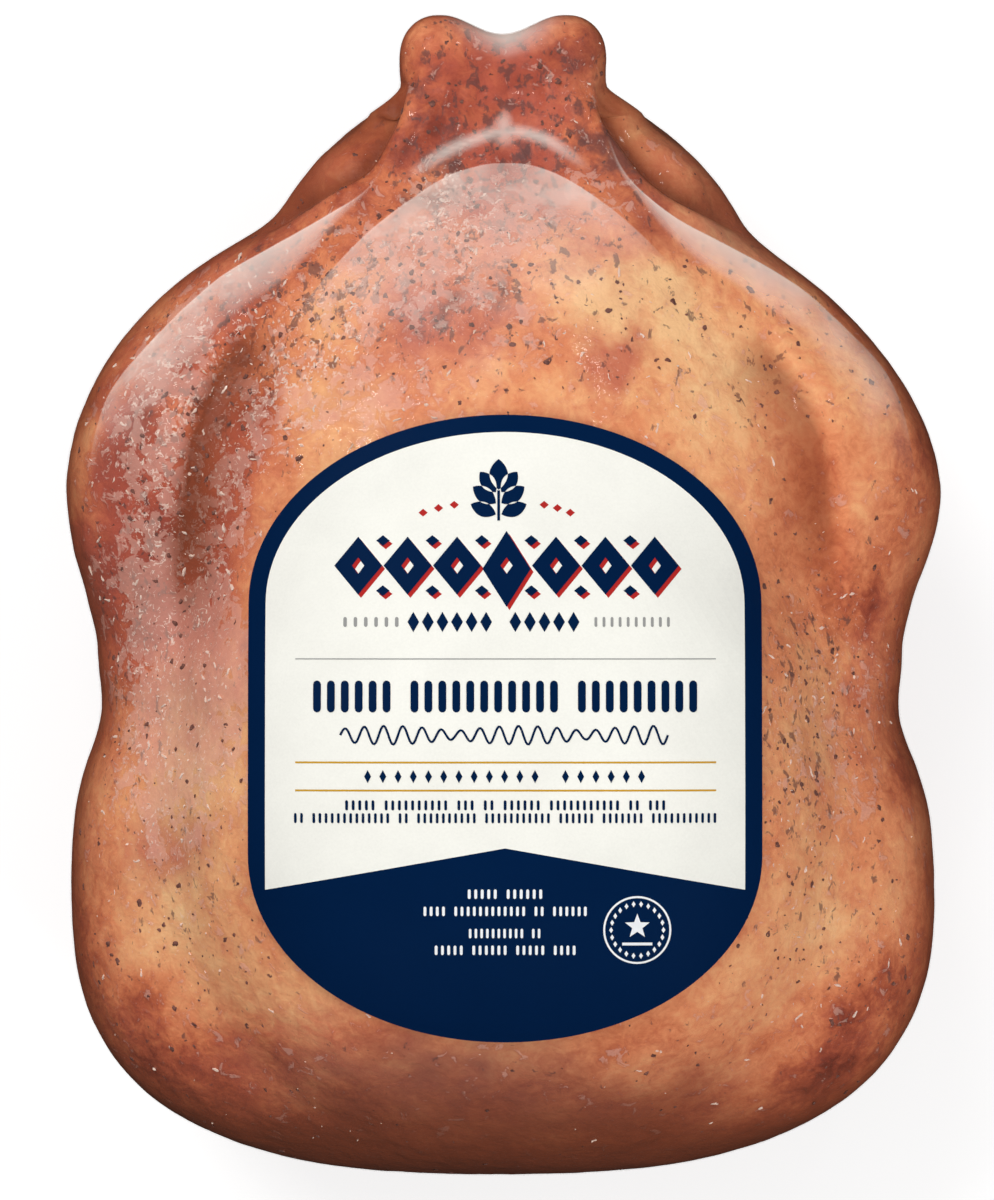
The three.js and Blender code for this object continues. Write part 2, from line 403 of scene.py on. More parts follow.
class Wire:
    """A shader socket that takes part in Python expressions: numbers become Math nodes."""

    def __init__(self, material, socket):
        self.material, self.socket = material, socket

    def math(self, operation, *others, clamp=False):
        values = [self.socket] + [o.socket if isinstance(o, Wire) else o for o in others]
        node = self.material.node("ShaderNodeMath", {"operation": operation, "use_clamp": clamp},
                                  dict(enumerate(values)))
        return Wire(self.material, node.outputs[0])

    def __add__(self, other):
        return self.math("ADD", other)

    def __sub__(self, other):
        return self.math("SUBTRACT", other)

    def __rsub__(self, other):
        return (self * -1).math("ADD", other)

    def __mul__(self, other):
        return self.math("MULTIPLY", other)

    __radd__, __rmul__ = __add__, __mul__

    def clamped(self):
        return self.math("ADD", 0.0, clamp=True)

    def greater(self, other):
        return self.math("MAXIMUM", other)

    def lesser(self, other):
        return self.math("MINIMUM", other)

    def step(self, low, high, bottom=0.0, top=1.0):
        """A smooth step from bottom at low to top at high."""
        node = self.material.node(
            "ShaderNodeMapRange", {"interpolation_type": "SMOOTHSTEP"},
            {"Value": self, "From Min": low, "From Max": high, "To Min": bottom, "To Max": top})
        return Wire(self.material, node.outputs["Result"])


class Finish:
    """A material whose nodes are made by one method, and which starts with its pattern's place."""

    def __init__(self, name):
        self.made = bpy.data.materials.new(name)
        self.made.use_nodes = True
        self.tree = self.made.node_tree
        self.tree.nodes.clear()
        self.output = self.tree.nodes.new("ShaderNodeOutputMaterial")
        self.place = Wire(self, self.node("ShaderNodeTexCoord").outputs["Object"])

    def node(self, kind, settings=None, values=None):
        """A node of a type, with its settings set first, then the values or links of its sockets."""
        made = self.tree.nodes.new(kind)
        for name, value in (settings or {}).items():
            if name == "stops":
                ramp = made.color_ramp
                while len(ramp.elements) < len(value):
                    ramp.elements.new(1.0)
                for element, (at, colour) in zip(ramp.elements, value):
                    element.position, element.color = at, (*colour, 1.0)
            else:
                setattr(made, name, value)
        for name, value in (values or {}).items():
            socket = value.socket if isinstance(value, Wire) else value
            if isinstance(socket, bpy.types.NodeSocket):
                self.tree.links.new(socket, made.inputs[name])
            else:
                made.inputs[name].default_value = socket
        return made

    def noise(self, size_mm, detail=3.0, roughness=0.55, distortion=0.0, squash=(1, 1, 1), at=(0, 0, 0)):
        """Noise from 0 to 1 whose lumps are about so many millimetres across."""
        place = self.node("ShaderNodeMapping", {}, {
            "Vector": self.place, "Location": at, "Scale": tuple(1000 / size_mm * s for s in squash)})
        made = self.node("ShaderNodeTexNoise", {}, {
            "Vector": place.outputs[0], "Scale": 1.0, "Detail": detail, "Roughness": roughness,
            "Distortion": distortion})
        return Wire(self, made.outputs["Fac"])

    def carried(self, name):
        """A number that the piece's points carry."""
        node = self.node("ShaderNodeAttribute", {"attribute_name": name, "attribute_type": "GEOMETRY"})
        return Wire(self, node.outputs["Fac"])

    def fresnel(self, index):
        return Wire(self, self.node("ShaderNodeFresnel", {}, {"IOR": index}).outputs[0])

    def ramp(self, value, stops):
        node = self.node("ShaderNodeValToRGB", {"stops": stops}, {0: value})
        return Wire(self, node.outputs["Color"])

    def mix(self, share, first, second):
        """First where share is 0, and second where it is 1."""
        first, second = (c if isinstance(c, Wire) else (*c, 1.0) for c in (first, second))
        node = self.node("ShaderNodeMix", {"data_type": "RGBA"}, {0: share, 6: first, 7: second})
        return Wire(self, node.outputs[2])

    def bump(self, height, strength, depth_mm):
        node = self.node("ShaderNodeBump", {}, {
            "Height": height, "Strength": strength, "Distance": depth_mm * MM})
        return Wire(self, node.outputs[0])

    def surface(self, shader):
        self.tree.links.new(shader, self.output.inputs["Surface"])
        return self.made

    def half_clear(self, share, sheet):
        """Clear, but for a share of the light that meets a sheet."""
        clear = self.node("ShaderNodeBsdfTransparent").outputs[0]
        both = self.node("ShaderNodeMixShader", {}, {0: share.clamped(), 1: clear, 2: sheet})
        return self.surface(both.outputs[0])

    def principled(self, **values):
        names = {name.replace("_", " ").title().replace("Ior", "IOR"): v for name, v in values.items()}
        return self.node("ShaderNodeBsdfPrincipled", {}, names).outputs[0]


def linear(*screen_colour):
    """A colour given as it shows on a screen, from 0 to 255, as light."""
    return tuple(c / 12.92 if c <= 0.04045 else ((c + 0.055) / 1.055) ** 2.4
                 for c in (part / 255 for part in screen_colour))


# ------ the finishes

# From pale gold to burnt, and what is laid over it: as it shows on a screen. The palest tone, laid
# in thin lines, is painted glints; the two shade tones are painted shade.
SKIN_TONES = [
    (0.0, (250, 198, 144)), (0.22, (243, 174, 122)), (0.42, (231, 145, 99)), (0.58, (208, 116, 76)),
    (0.72, (174, 84, 56)), (0.86, (126, 52, 36)), (1.0, (62, 26, 18)),
]
ROSY_TONE, CHAR_TONE, SMOKY_TONE, SPOT_TONE = (194, 94, 76), (92, 62, 60), (138, 82, 70), (98, 66, 64)
FAT_TONE, PAINTED_GLINT_TONE = (246, 198, 180), (255, 232, 216)
HALF_SHADE_TONE, FULL_SHADE_TONE = (164, 80, 44), (62, 23, 14)


def roast_skin_finish(sizes):
    """Browned skin: golden to dark, blotched, milky with fat, stained and wrinkled; painted glints and
    shade.
    """
    f = Finish("roast_skin")
    mottle = f.noise(5.0, 4, 0.66, 0.6, at=(5, 2, 8))
    grain = f.noise(1.7, 1, 0.6, at=(2, 6, 1))
    uneven = (mottle - 0.5) * 0.62 + (grain - 0.5) * 0.14
    colour = f.ramp((f.carried("brown") + uneven).clamped(),
                    [(at, linear(*tone)) for at, tone in SKIN_TONES])

    def over(share, tone):
        return f.mix(share, colour, linear(*tone))

    colour = over((f.carried("rosy") + uneven).clamped() * 0.75, ROSY_TONE)
    colour = over((f.carried("char") + uneven * 2).step(0.3, 0.8) * 0.66, CHAR_TONE)
    colour = over(f.carried("smoky").clamped(), SMOKY_TONE)
    burnt = f.noise(3.6, 3, 0.64, 0.4, squash=(1.1, 0.8, 1), at=(9, 4, 3))
    colour = over((burnt + f.carried("fleck_share") * 0.15).step(0.67, 0.75) * 0.7, SPOT_TONE)
    wet = f.carried("milky") + (mottle - 0.5) * 2.8
    milky = wet.step(0.42, 0.58)
    colour = over(milky * 0.34, FAT_TONE)
    # painted glints: thin pale squiggles, and pale lines along the edges of the milky patches, where beads
    # lie
    swirl = f.noise(2.8, 1, 0.5, 1.4, at=(1, 8, 5))
    glint_squiggles = (swirl - 0.5).math("ABSOLUTE").step(0.012, 0.034, 1.0, 0.0)
    glint_edges = (wet - 0.5).math("ABSOLUTE").step(0.03, 0.12, 1.0, 0.0)
    broken = (grain + f.carried("bead_share") * 0.1).step(0.61, 0.68)
    colour = over((glint_squiggles.greater(glint_edges * 0.8) * broken * f.carried("bead_share")).clamped() * 0.72,
                  PAINTED_GLINT_TONE)
    # painted shade, warm brown first and deep brown where it is strongest
    shade = f.carried("shade")
    colour = over((shade * 1.15).clamped(), HALF_SHADE_TONE)
    colour = over(shade * shade, FULL_SHADE_TONE)
    wrinkle = f.noise(3.8, 2, 0.6, 0.5, at=(7, 1, 4))
    return f.surface(f.principled(
        base_color=colour, roughness=0.36 + (mottle - 0.5) * 0.3, specular_ior_level=0.35,
        normal=f.bump(wrinkle + grain * 0.3 + milky * 0.25, 0.45, sizes.skin_relief_mm)))


def film_finish(sizes):
    """Clear film: glossy and finely crinkled, with whitish painted reflections that glow faintly."""
    f = Finish("bag_film")
    # painted reflections: whitish patches over the upper breast and along the thighs, and along the taut
    # ridge and web
    dome = f.carried("dome_edge").step(0.0, 0.5) * f.carried("dome_fade")
    side = f.carried("side_edge").step(0.0, 0.45) * f.carried("side_fade")
    painted_sheen = (dome * sizes.painted_reflection_strength + side * sizes.painted_reflection_strength * 1.5 + f.carried("web") * 0.6 + 0.004).clamped()
    gloss = f.fresnel(1.4).lesser(0.05) * sizes.film_gloss
    fine = f.noise(2.1, 1, 0.6, at=(3, 1, 7))
    # where the painted reflections lie, the sheet is whitish and glows faintly as painted light; elsewhere
    # it is clear glossy film
    sheet = f.principled(
        base_color=(1.0, 0.88, 0.8, 1), metallic=1 - (painted_sheen * 9).clamped(),
        emission_color=(1.0, 0.85, 0.74, 1), emission_strength=0.14,
        roughness=0.1 + painted_sheen * 0.5,
        normal=f.bump(fine * f.carried("bumpy"), 0.8, sizes.film_crinkle_mm))
    return f.half_clear(gloss + painted_sheen, sheet)


def fleck_finish():
    """Char and spice: dark to reddish brown and matt."""
    f = Finish("char_flecks")
    tone = f.noise(1.1, 2, 0.6)
    colour = f.ramp(tone, [(0.3, linear(92, 56, 50)), (0.55, linear(126, 80, 70)),
                           (0.8, linear(158, 104, 86))])
    return f.surface(f.principled(
        base_color=colour, roughness=0.55 + (tone - 0.5) * 0.3, normal=f.bump(f.noise(0.5, 2), 0.5, 0.2)))


def bead_finish():
    """Beads of juice and air: partly clear, with a bright glossy skin and a faint painted glow as glints.
    """
    f = Finish("juice_beads")
    tone = f.noise(3, 2)
    sheet = f.principled(
        base_color=f.ramp(tone, [(0.3, linear(250, 214, 190)), (0.7, linear(255, 236, 222))]),
        emission_color=(1.0, 0.86, 0.76, 1), emission_strength=0.12,
        roughness=0.1 + tone * 0.08, specular_ior_level=0.8)
    return f.half_clear(f.fresnel(1.6) * 1.2 + 0.6, sheet)


def print_finish(name, colour):
    """Printed film label: one ink, barely mottled, half glossy, with the film's faint crinkle."""
    f = Finish(name)
    tone = f.noise(22, 3, 0.5, at=(3, 8, 1)) * 0.6 + f.noise(0.7, 2) * 0.4
    wear = 0.05
    darker, lighter = (tuple(c * s for c in colour) for s in (1 - wear, 1 + wear))
    height = f.noise(14, 2, 0.5, 0.4, at=(1, 1, 5)) + f.noise(0.45, 2) * 0.03
    return f.surface(f.principled(
        base_color=f.ramp(tone, [(0.3, darker), (0.7, lighter)]), roughness=0.42 + (tone - 0.5) * 0.16,
        normal=f.bump(height, 0.35, 0.5), specular_ior_level=0.06))


def floor_finish():
    """A pale even floor that glows a little, so that it stays white under soft light."""
    f = Finish("pale_floor")
    colour = f.ramp(f.noise(90, 1), [(0.2, (0.53, 0.53, 0.53)), (0.8, (0.545, 0.545, 0.545))])
    return f.surface(f.principled(
        base_color=colour, roughness=0.9, emission_color=(1, 1, 1, 1), emission_strength=0.62))


# ------ where the skin and film vary

# Patches of the skin, each (x, y, half length, half width, turn in degrees, amount): how much
# browner than the rest, how rosy, how charred, how smoky and how milky with fat it is. The thin
# brown patches along the outline and the brown and smoky patches across the foot are partly
# roasting and partly painted shade.
BROWN = [
    (0, 138, 34, 26, 90, 0.3), (-62, 106, 34, 11, 48, 0.22), (60, 108, 34, 12, -45, 0.18),
    (-12, 80, 22, 13, 20, 0.2), (-28, 60, 24, 12, 30, 0.02), (-2, 100, 40, 16, 0, 0.1),
    (-96, 34, 46, 17, 70, 0.26), (-88, -6, 34, 18, 80, 0.26), (-106, -4, 30, 8, 80, 0.12),
    (-92, 64, 34, 9, 48, 0.12), (-104, 34, 40, 8, 72, 0.14), (-84, -86, 22, 13, 0, -0.12),
    (-113, -80, 30, 8, 75, 0.16), (-40, 122, 20, 9, 50, 0.16), (-66, 84, 20, 9, 40, 0.14),
    (-102, -126, 40, 16, -40, 0.24), (-6, -150, 110, 18, 0, 0.24), (44, -138, 26, 9, 8, -0.18),
    (22, 60, 14, 10, 0, -0.16), (100, -118, 32, 12, 50, 0.16), (115, -82, 26, 7, 85, -0.04),
    (82, 32, 22, 10, 75, 0.12), (96, -14, 24, 9, 80, 0.12), (104, 4, 20, 5, 80, 0.14),
    (78, -28, 14, 8, 60, 0.08), (-32, 58, 34, 12, 20, -0.08), (36, 56, 30, 7, -20, 0.06),
    (-66, 26, 20, 12, 70, 0.12), (28, 68, 12, 9, 0, 0.04), (22, 152, 9, 9, 0, 0.24),
    (88, -142, 20, 8, 40, 0.26), (-50, -154, 26, 8, -12, 0.2), (-24, -128, 44, 9, 3, 0.08),
    (50, -154, 24, 8, 12, 0.12), (20, -142, 34, 9, 0, 0.12), (92, 6, 12, 10, 80, 0.16),
    (48, 90, 16, 9, -40, -0.08), (104, 58, 15, 8, -52, -0.14), (-40, 86, 14, 9, 30, -0.1),
    (-90, -22, 14, 9, 80, -0.2), (-94, -56, 12, 10, 0, 0.04), (62, 76, 40, 22, -38, -0.18),
    (28, 88, 30, 10, -14, -0.2), (-50, 66, 18, 10, 30, -0.1), (-90, -62, 34, 20, 80, -0.22),
    (-72, -40, 20, 12, 40, -0.14), (100, 22, 32, 10, 80, -0.14), (56, 46, 26, 10, -36, -0.08),
    (-78, -106, 34, 13, -20, -0.2), (92, -56, 30, 14, 80, -0.14), (38, 117, 26, 8, -56, 0.24),
    (84, 84, 22, 8, -40, -0.1), (80, -104, 36, 13, 35, -0.18), (-16, -132, 40, 7, 0, -0.06),
    (38, 78, 34, 20, -30, -0.16), (0, 150, 30, 14, 0, 0.12), (-112, 30, 40, 7, 82, 0.24),
    (116, 20, 44, 6, 85, 0.14), (-94, 0, 18, 10, 80, 0.14), (96, 28, 22, 10, 80, 0.14),
    (98, 0, 16, 8, 80, 0.12), (92, -60, 26, 14, 80, 0.08), (88, -132, 34, 10, 40, 0.14),
    (0, -136, 30, 8, 0, 0.12), (-90, -26, 13, 9, 70, -0.26), (-96, 2, 12, 8, 80, 0.16),
    (92, -20, 12, 9, 80, -0.14), (-108, -72, 16, 9, 80, -0.12), (-34, 118, 30, 9, 58, 0.18),
    (-60, 88, 36, 8, 38, 0.06), (-22, 126, 14, 8, 60, 0.16), (8, 124, 22, 8, 0, 0.14),
    (62, 84, 20, 8, -45, 0.12), (-92, 8, 26, 9, 85, 0.22), (-76, 36, 34, 9, 70, 0.26),
    (-64, 56, 16, 9, 50, 0.2), (105, 4, 18, 6, 85, 0.26), (118, -36, 20, 6, 85, 0.2),
    (-58, 109, 30, 9, 45, -0.2), (58, 109, 30, 9, -45, -0.2), (30, 82, 26, 16, 0, -0.12),
    (-40, 88, 16, 9, 30, -0.14), (98, -48, 30, 10, 85, 0.16), (84, -40, 20, 12, 80, -0.14),
    (-112, -30, 26, 6, 85, 0.12), (-70, 96, 40, 6, 38, 0.12), (110, 60, 40, 6, -60, 0.12),
    (84, 96, 40, 5, -38, 0.1),
]
ROSY = [
    (28, 68, 12, 9, 0, 1.15), (-12, 80, 20, 11, 20, 0.5), (0, 138, 34, 26, 90, 0.7),
    (-30, 62, 24, 13, 30, 0.36), (-90, 24, 60, 24, 75, 0.75), (-86, -20, 34, 18, 80, 0.7),
    (-54, -118, 16, 9, 0, 0.5), (-20, 100, 30, 14, 30, 0.5), (16, 104, 26, 12, -20, 0.4),
    (-50, -134, 34, 9, 10, 0.2), (62, -84, 10, 6, 30, 0.5), (92, -42, 16, 6, 70, 0.4),
    (22, 52, 9, 5, 0, 0.35), (-97, -70, 15, 12, 10, 0.85), (-56, -130, 44, 9, -6, 0.25),
    (104, -20, 26, 9, 80, 0.4), (-60, 112, 34, 9, 45, 0.5), (60, 112, 34, 9, -45, 0.5),
    (-112, 30, 46, 8, 80, 0.6),
]
CHAR = [
    (33, 124, 11, 8, -20, 0.95), (-16, 126, 22, 6, 95, 0.55), (3, 128, 20, 5, 85, 0.35),
    (-2, 112, 16, 12, 60, 0.3), (-24, 112, 12, 8, 40, 0.5), (-12, 80, 18, 6, 25, 0.36),
    (14, 104, 12, 5, 80, 0.5), (-26, 142, 5, 5, 0, 0.5), (22, 150, 9, 8, 0, 0.4),
    (20, 132, 14, 5, 75, 0.45), (-106, 8, 22, 7, 80, 0.3), (-86, 44, 18, 8, 60, 0.12),
    (44, -132, 26, 4, 8, 0.2), (-70, 70, 12, 6, 50, 0.3), (88, 34, 12, 7, 80, 0.25),
    (-10, 92, 26, 8, 5, 0.35),
]
SMOKY = [
    (0, -143, 66, 13, 0, 0.62), (-24, -129, 44, 9, 3, 0.4), (40, 112, 22, 9, -40, 0.3),
    (70, 104, 16, 9, -45, 0.4), (22, 150, 9, 9, 0, 0.3), (-66, 104, 14, 8, 45, 0.2),
]
MILKY = [
    (-90, 20, 58, 22, 78, 0.62), (-84, -24, 34, 22, 85, 0.6), (-52, 66, 30, 12, 40, 0.35),
    (-20, 96, 32, 18, 10, 0.5), (-30, 54, 26, 14, 10, 0.42), (-100, 60, 26, 10, 55, 0.5),
    (-96, -60, 24, 14, 85, 0.35), (10, 110, 26, 14, 0, 0.4), (98, -40, 26, 14, 85, 0.3),
    (-91, -24, 18, 11, 80, 0.3),
]
# How thick the flecks and the beads lie, as the same kind of patch.
FLECKS = [
    (0, 132, 40, 30, 90, 1), (-60, 76, 44, 24, 40, 0.75), (-96, 10, 64, 18, 78, 0.7),
    (64, 78, 44, 24, -45, 0.4), (84, -30, 40, 18, 80, 0.65), (-8, 84, 44, 26, 0, 0.5),
    (-90, -90, 40, 22, 70, 0.35), (92, -90, 40, 22, -70, 0.4), (-86, 106, 20, 8, 45, 0.6),
]
BEADS = [
    (-92, 10, 74, 22, 80, 0.95), (-100, 56, 30, 12, 55, 0.5), (-60, 76, 40, 18, 40, 0.4),
    (-10, 100, 36, 26, 0, 0.3), (-14, 108, 13, 8, 20, 0.6), (88, -34, 44, 20, 80, 0.55),
    (-88, -70, 44, 22, 80, 0.4), (40, 60, 40, 18, -20, 0.25), (92, -96, 34, 20, 60, 0.25),
    (-30, 56, 26, 14, 10, 0.45), (20, 140, 9, 14, 0, 0.5), (-50, 66, 30, 8, 30, 0.3),
    (-91, -24, 18, 11, 80, 0.3), (-50, 70, 20, 12, 30, 0.34), (-62, 44, 16, 18, 0, 0.36),
    (-4, 92, 26, 24, 0, 0.3),
]

# Where painted reflections of broad light lie on the film: the outer edge of one patch over the
# upper breast; and of one patch along each thigh, the outer edge, the inner edge and the side.
DOME_EDGE = rounded([(-63, 73), (-55, 83), (-41, 99), (-26, 111), (-13, 118.6), (0.5, 121.4),
                     (13.3, 119.1), (27, 111), (39.3, 101), (45.8, 94.5), (53, 87)])
SIDE_EDGES = [(rounded(outer), rounded(inner), side) for outer, inner, side in (
    ([(-30.4, 129.6), (-34, 120), (-39.9, 112.4), (-53.9, 104), (-66.5, 97), (-80.5, 88.6),
      (-98.7, 71.8), (-109.9, 57.8), (-115, 42), (-116.6, 26)],
     [(-31, 129.5), (-36.5, 116.6), (-46, 105.7), (-55.3, 94.5), (-64.5, 86.1), (-73.8, 79.7),
      (-88, 66), (-97, 48), (-103, 26)], -1),
    ([(29.6, 129), (33, 120.5), (38.5, 113.8), (49.7, 105.4), (66.5, 97), (83.3, 87.2),
      (97.3, 74.6), (108.5, 62), (114.5, 44), (116.6, 22)],
     [(30.2, 128.6), (33.7, 118.6), (39.3, 111.3), (45.8, 102.9), (54, 95), (70, 84), (86, 70),
      (98, 52), (107, 22)], 1),
)]


def patchy(x, y, patches, warp):
    """The sum of soft patches at each place, their edges bent by noise."""
    fall, flatness = 1.1, 1.4
    total = np.zeros(x.shape)
    x, y = x + warp[0], y + warp[1]
    for at_x, at_y, length, width, turn, amount in patches:
        cos, sin = math.cos(math.radians(turn)), math.sin(math.radians(turn))
        along = ((x - at_x) * cos + (y - at_y) * sin) / length
        across = ((y - at_y) * cos - (x - at_x) * sin) / width
        total += amount * np.exp(-fall * (along ** 2 + across ** 2) ** flatness)
    return total


def signed_gap(x, y, line, sign):
    """Distance inside a line: positive on its left going along it, for a sign of 1."""
    gap, side, share = nearest_on_line(x, y, line)
    return -gap * side * sign, share


def light_patches(x, y):
    """How far inside each patch of painted reflection a place is, and how strong the patch is there."""
    dome_reach, side_reach = 30, 45
    inside, share = signed_gap(x, y, DOME_EDGE, -1)
    fade = np.exp(-np.maximum(inside, 0) / dome_reach) * ends_faded(share, 0.3)
    dome = (inside, fade * (inside > -3))
    sides = (np.full(x.shape, -9.0), np.zeros(x.shape))
    for outer, inner, side in SIDE_EDGES:
        inside, share = signed_gap(x, y, outer, -side)
        beyond, _ = signed_gap(x, y, inner, side)
        width = np.maximum(inside + beyond, 0.6)
        across = np.clip(1 - inside / width, 0, 1)
        soft = np.clip((beyond + 1.2) / 2.4, 0, 1)
        fade = (0.3 + 0.7 * across) * soft * smooth(1 - share, 0, 0.45)
        fade = np.maximum(fade, 0.7 * soft * smooth(-share, -0.3, -0.12))
        fade *= (1 - 0.4 * smooth(x, 76, 108)) * smooth(share, 0, 0.02)
        nearer = (inside > -3) & (inside < side_reach)
        sides = (np.where(nearer & (x * side > 0), inside, sides[0]),
                 np.where(nearer & (x * side > 0), fade, sides[1]))
    return dome, sides


# ------ the label's outlines

LABEL_HALF, LABEL_X = 142.2 / 2, 0.7
ARCH_TOP, ARCH_HEIGHT = 50.3, 52.1
LABEL_FOOT, FOOT_HEIGHT = -123.3, 51.7
SPRING, HEEL = ARCH_TOP - ARCH_HEIGHT, LABEL_FOOT + FOOT_HEIGHT     # where the sides are straight
LABEL_LIFT, LABEL_THICKNESS = 0.3, 0.4
BORDER = 4.8
ROOF_PEAK, ROOF_EAVES = -69.4, -81.0


def arc(centre_x, centre_y, reach_x, reach_y, start, end, steps=48):
    """Points along part of an ellipse, from one angle to another in degrees."""
    angles = np.radians(np.linspace(start, end, steps + 1))
    return [(centre_x + reach_x * math.cos(a), centre_y + reach_y * math.sin(a)) for a in angles]


def label_outline():
    """An elliptic arch and an elliptic foot, with straight sides between."""
    return (arc(LABEL_X, SPRING, LABEL_HALF, ARCH_HEIGHT, 0, 180, 72)
            + arc(LABEL_X, HEEL, LABEL_HALF, FOOT_HEIGHT, 180, 360, 72))


def panel_outline():
    """The pale panel: the label's arch inside its border, down to a gabled lower edge."""
    half = LABEL_HALF - BORDER
    arch = arc(LABEL_X, SPRING, half, ARCH_HEIGHT - BORDER, 0, 180, 72)
    return arch + [(LABEL_X - half, ROOF_EAVES), (LABEL_X, ROOF_PEAK), (LABEL_X + half, ROOF_EAVES)]


def under_label(x, y):
    """1 under the label, and 0 away from it."""
    up, down = np.maximum(y - SPRING, 0) / ARCH_HEIGHT, np.maximum(HEEL - y, 0) / FOOT_HEIGHT
    across = (x - LABEL_X) / LABEL_HALF
    reach = np.sqrt(across ** 2 + up ** 2 + down ** 2)
    return 1 - smooth(reach, 0.985, 1.04)


# ------ the forms of the skin and the film

class Forms:
    """The grids that several pieces share, worked out once."""

    rings, sides = 276, 358
    made = None

    @classmethod
    def get(cls):
        if cls.made is None:
            cls.made = cls(bpy.context.scene.roast_turkey.relief)
        return cls.made

    def __init__(self, relief_share):
        grid = notched(bag_form(self.rings, self.sides))
        grid[0], grid[-1] = grid[0].mean(0), grid[-1].mean(0)
        normals = outward_normals(grid)
        x, y, z = grid[..., 0], grid[..., 1], grid[..., 2]
        up = normals[..., 2]
        broad, mid, small = Noise(11), Noise(12), Noise(13)
        warp = (4.5 * mid.layered(grid / 14), 4.5 * small.layered(grid / 14 + 5))
        free = 1 - under_label(x, y) * smooth(z, 70, 100)
        self.tight = BVHTree.FromPolygons(listed(grid).tolist(), ring_faces(self.rings, self.sides))

        # skin relief, inwards; what the grid is divided by is the size of the lumps in millimetres
        crease, dark = creases(x, y, up)
        lumps = (broad.layered(grid / 24) + 1) * 0.42
        dents = (mid.layered(grid / 9 + 3) + 1) * 0.26
        grain = (small.layered(grid * np.array([0.34, 0.26, 0.34]) + 9) + 1) * 0.14
        flank = smooth(-x, 40, 75) * smooth(y, -60, -30) * smooth(-y, -90, -60)
        pulled = tension(x, y, z)
        tip = 1 - 0.9 * smooth(y, 148, 157)
        open_top = (0.25 + 0.75 * free) * (0.35 + 0.65 * smooth(up, 0.0, 0.4)) * tip
        relief = crease + (lumps + dents + grain * (1 + flank)) * open_top + pulled
        self.skin = grid - normals * ((SKIN_GAP + relief * relief_share)[..., None])

        # film relief: it bridges the creases and small dents, and has fine folds of its own
        bubbly = patchy(x, y, BEADS, warp)
        bumpy = np.clip(0.25 + bubbly, 0, 1.3) * free
        ridge, webbing = web(x, y, z)
        pimples = (np.maximum(small.at(grid / 1.9 + 4), 0) * 0.14
                   + (mid.at(grid / 4.2 + 1) + 1) * 0.1) * bumpy
        bridged = crease * 0.92 + (lumps * 0.85 + dents * 0.6) * open_top + pulled * 0.7
        outward = ridge * 0.25 + folds(x, y, z) * 0.5 + pimples * open_top
        self.film = grid - normals * ((FILM_GAP + (bridged - outward * free) * relief_share)[..., None])
        for shell in (self.skin, self.film):
            shell[..., 2] = np.maximum(shell[..., 2], 0)
            for end in (0, -1):
                shell[end] = shell[end].mean(0)

        # what the skin's colours follow
        drift = broad.layered(grid / 40 + 2) * 0.13 + mid.layered(grid / 13 + 6, 4) * 0.09
        fine = small.layered(grid / 6.5 + 1, 3)
        tears = 1 - 2 * np.abs(broad.layered(grid / 11 + 8, 4))
        # painted shade: darker where the skin turns away to the sides, beside the creases and across the
        # foot, and a little less so underneath
        painted_side_shade = smooth(-up, -0.68, 0.0)
        foot = smooth(-y, 124, 164)
        shade = 1 - (1 - 0.62 * painted_side_shade) * (1 - 0.85 * dark) * (1 - 0.7 * foot)
        self.skin_values = {
            # browning from patches and noise, plus painted shade where the skin turns away to the sides
            "brown": 0.405 + patchy(x, y, BROWN, warp) + drift + 0.12 * painted_side_shade,
            "rosy": patchy(x, y, ROSY, warp) + fine * 0.22,
            "char": patchy(x, y, CHAR, warp) + fine * 0.34 - 0.06,
            "smoky": patchy(x, y, SMOKY, warp) * (1 + fine * 0.2),
            "milky": (patchy(x, y, MILKY, warp) + tears * 0.22) * smooth(up, 0.1, 0.5) * (1 - 0.7 * dark),
            "shade": shade * (1 - 0.45 * smooth(-up, 0.0, 0.5)),
            "fleck_share": np.clip(0.12 + patchy(x, y, FLECKS, warp), 0, 1) * free * smooth(up, 0.0, 0.35),
            "bead_share": np.clip(0.04 + bubbly, 0, 1) * free * smooth(up, 0.15, 0.6),
        }

        # where the film is whitish with painted reflections
        sheen_breakup = 0.86 + 0.3 * mid.layered(grid / 8 + 4, 3)
        (dome_edge, dome_fade), (side_edge, side_fade) = light_patches(x, y)
        upper = smooth(up, 0.0, 0.2)
        broken = np.clip(sheen_breakup * 1.5 - 0.6, 0.1, 1.4)
        self.film_values = {
            "dome_edge": dome_edge,
            "dome_fade": dome_fade * upper * np.clip(sheen_breakup, 0.3, 1.2),
            "side_edge": side_edge,
            "side_fade": side_fade * upper * (1 + (broken - 1) * smooth(-y, -100, -70)),
            "web": np.clip(np.maximum(ridge * 0.66, webbing), 0, 1) * smooth(up, -0.35, 0.1),
            "bumpy": bumpy,
        }


def tension(x, y, z):
    """Shallow pleats drawn towards the hocks, and down the waist on either side."""
    towards = np.arctan2(x, 172 - y) * 30
    drawn = (0.5 + 0.5 * np.sin(towards + 0.8 * np.sin(y / 9))) * smooth(y, 95, 125) * 0.5
    waist = (0.5 + 0.5 * np.sin(y / 2.6 + x / 9)) * np.exp(-(((np.abs(x) - 104) / 12) ** 2)
                                                            - ((y + 12) / 26) ** 2) * 0.7
    return (drawn * smooth(-y, -152, -140) + waist) * smooth(z, 40, 70)


